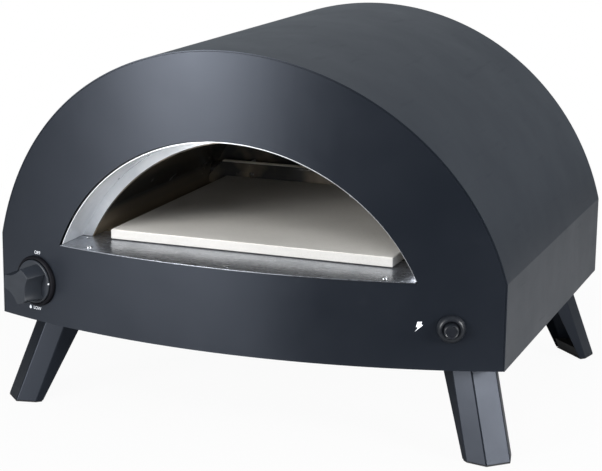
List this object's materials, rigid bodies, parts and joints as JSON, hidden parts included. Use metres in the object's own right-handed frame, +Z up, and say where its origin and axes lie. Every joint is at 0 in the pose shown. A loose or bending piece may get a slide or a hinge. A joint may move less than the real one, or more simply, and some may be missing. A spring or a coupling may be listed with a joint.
{
  "type": "portable gas pizza oven",
  "caption": "Domed tabletop gas pizza oven with a bowed front, arched mouth, sliding square stone, push-and-turn gas knob, push igniter, rear burner and splayed folding legs.",
  "frame": {"origin": "on the table, under the middle of the whole object's bounding box", "axes": "+X to the right of someone facing the mouth, +Y from the mouth to the back, +Z up"},
  "size_m": [0.5412, 0.4854, 0.3863],
  "materials": {
    "black_coat": "matt anthracite powder coat",
    "black_enamel": "black heat-proof enamel",
    "stainless": "bright brushed",
    "stone": "cream cordierite, matt",
    "galvanised": "zinc plated",
    "brass": "turned",
    "black_plastic": "black, heat-proof",
    "ceramic": "white, glazed",
    "blanket": "white ceramic wool",
    "rubber": "black"
  },
  "bodies": {
    "oven_body": {"base_pan": "black_coat", "burner_bracket_left": "galvanised", "burner_bracket_right": "galvanised", "burner_guard": "black_enamel", "burner_pipe": "galvanised", "burner_tube": "galvanised", "burner_venturi": "galvanised", "chamber_liner": "black_enamel", "chamber_rear_wall": "black_enamel", "electrode_insulator": "ceramic", "front_panel": "black_coat", "gas_jet": "brass", "gas_valve": "brass", "guard_screw": "stainless", "hearth_support_left": "galvanised", "hearth_support_right": "galvanised", "hearth_tray": "black_enamel", "igniter_housing": "black_plastic", "igniter_nut": "galvanised", "igniter_spring": "galvanised", "ignition_lead": "rubber", "inlet_fitting": "brass", "inlet_nut": "brass", "inlet_pipe": "galvanised", "insulation_blanket": "blanket", "knob_bezel": "black_plastic", "leg_bracket_front_left": "galvanised", "leg_bracket_front_right": "galvanised", "leg_bracket_rear_left": "galvanised", "leg_bracket_rear_right": "galvanised", "leg_pin_front_left": "galvanised", "leg_pin_front_right": "galvanised", "leg_pin_rear_left": "galvanised", "leg_pin_rear_right": "galvanised", "mouth_arch_trim": "stainless", "mouth_sill": "stainless", "outer_shell": "black_coat", "rear_panel": "black_coat", "sill_screw_centre": "stainless", "sill_screw_left": "stainless", "sill_screw_right": "stainless", "spark_electrode": "stainless", "valve_bracket": "galvanised", "valve_spring": "galvanised"},
    "stone": {"pizza_stone": "stone"},
    "knob_plunger": {"spring_retainer": "galvanised"},
    "knob": {"control_knob": "black_plastic", "valve_stem": "galvanised"},
    "button": {"igniter_button": "black_plastic"},
    "leg_front_left": {"leg_front_left": "black_coat", "foot_pad_front_left": "rubber"},
    "leg_front_right": {"leg_front_right": "black_coat", "foot_pad_front_right": "rubber"},
    "leg_rear_left": {"leg_rear_left": "black_coat", "foot_pad_rear_left": "rubber"},
    "leg_rear_right": {"leg_rear_right": "black_coat", "foot_pad_rear_right": "rubber"}
  },
  "joints": [
    {"name": "stone_slide", "type": "slide", "parent": "oven_body", "child": "stone", "axis": [0, -1, 0], "range_m": [0, 0.3]},
    {"name": "knob_push", "type": "slide", "parent": "oven_body", "child": "knob_plunger", "axis": [0.2966, 0.955, 0], "range_m": [0, 0.003], "stiffness_N_per_m": 300, "springref_m": -0.01, "deforming": ["valve_spring"]},
    {"name": "knob_turn", "type": "hinge", "parent": "knob_plunger", "child": "knob", "pos_m": [-0.2165, -0.20825, 0.137], "axis": [-0.2966, -0.955, 0], "range_deg": [0, 180]},
    {"name": "igniter_press", "type": "slide", "parent": "oven_body", "child": "button", "axis": [-0.2973, 0.9548, 0], "range_m": [0, 0.005], "stiffness_N_per_m": 400, "springref_m": -0.01, "deforming": ["igniter_spring"]},
    {"name": "fold_front_left", "type": "hinge", "parent": "oven_body", "child": "leg_front_left", "pos_m": [-0.2188, -0.1428, 0.0845], "axis": [0.7071, -0.7071, 0], "range_deg": [0, 112]},
    {"name": "fold_front_right", "type": "hinge", "parent": "oven_body", "child": "leg_front_right", "pos_m": [0.2188, -0.1428, 0.0845], "axis": [0.7071, 0.7071, 0], "range_deg": [0, 112]},
    {"name": "fold_rear_left", "type": "hinge", "parent": "oven_body", "child": "leg_rear_left", "pos_m": [-0.2188, 0.1722, 0.0845], "axis": [-0.7071, -0.7071, 0], "range_deg": [0, 112]},
    {"name": "fold_rear_right", "type": "hinge", "parent": "oven_body", "child": "leg_rear_right", "pos_m": [0.2188, 0.1722, 0.0845], "axis": [-0.7071, 0.7071, 0], "range_deg": [0, 112]}
  ]
}
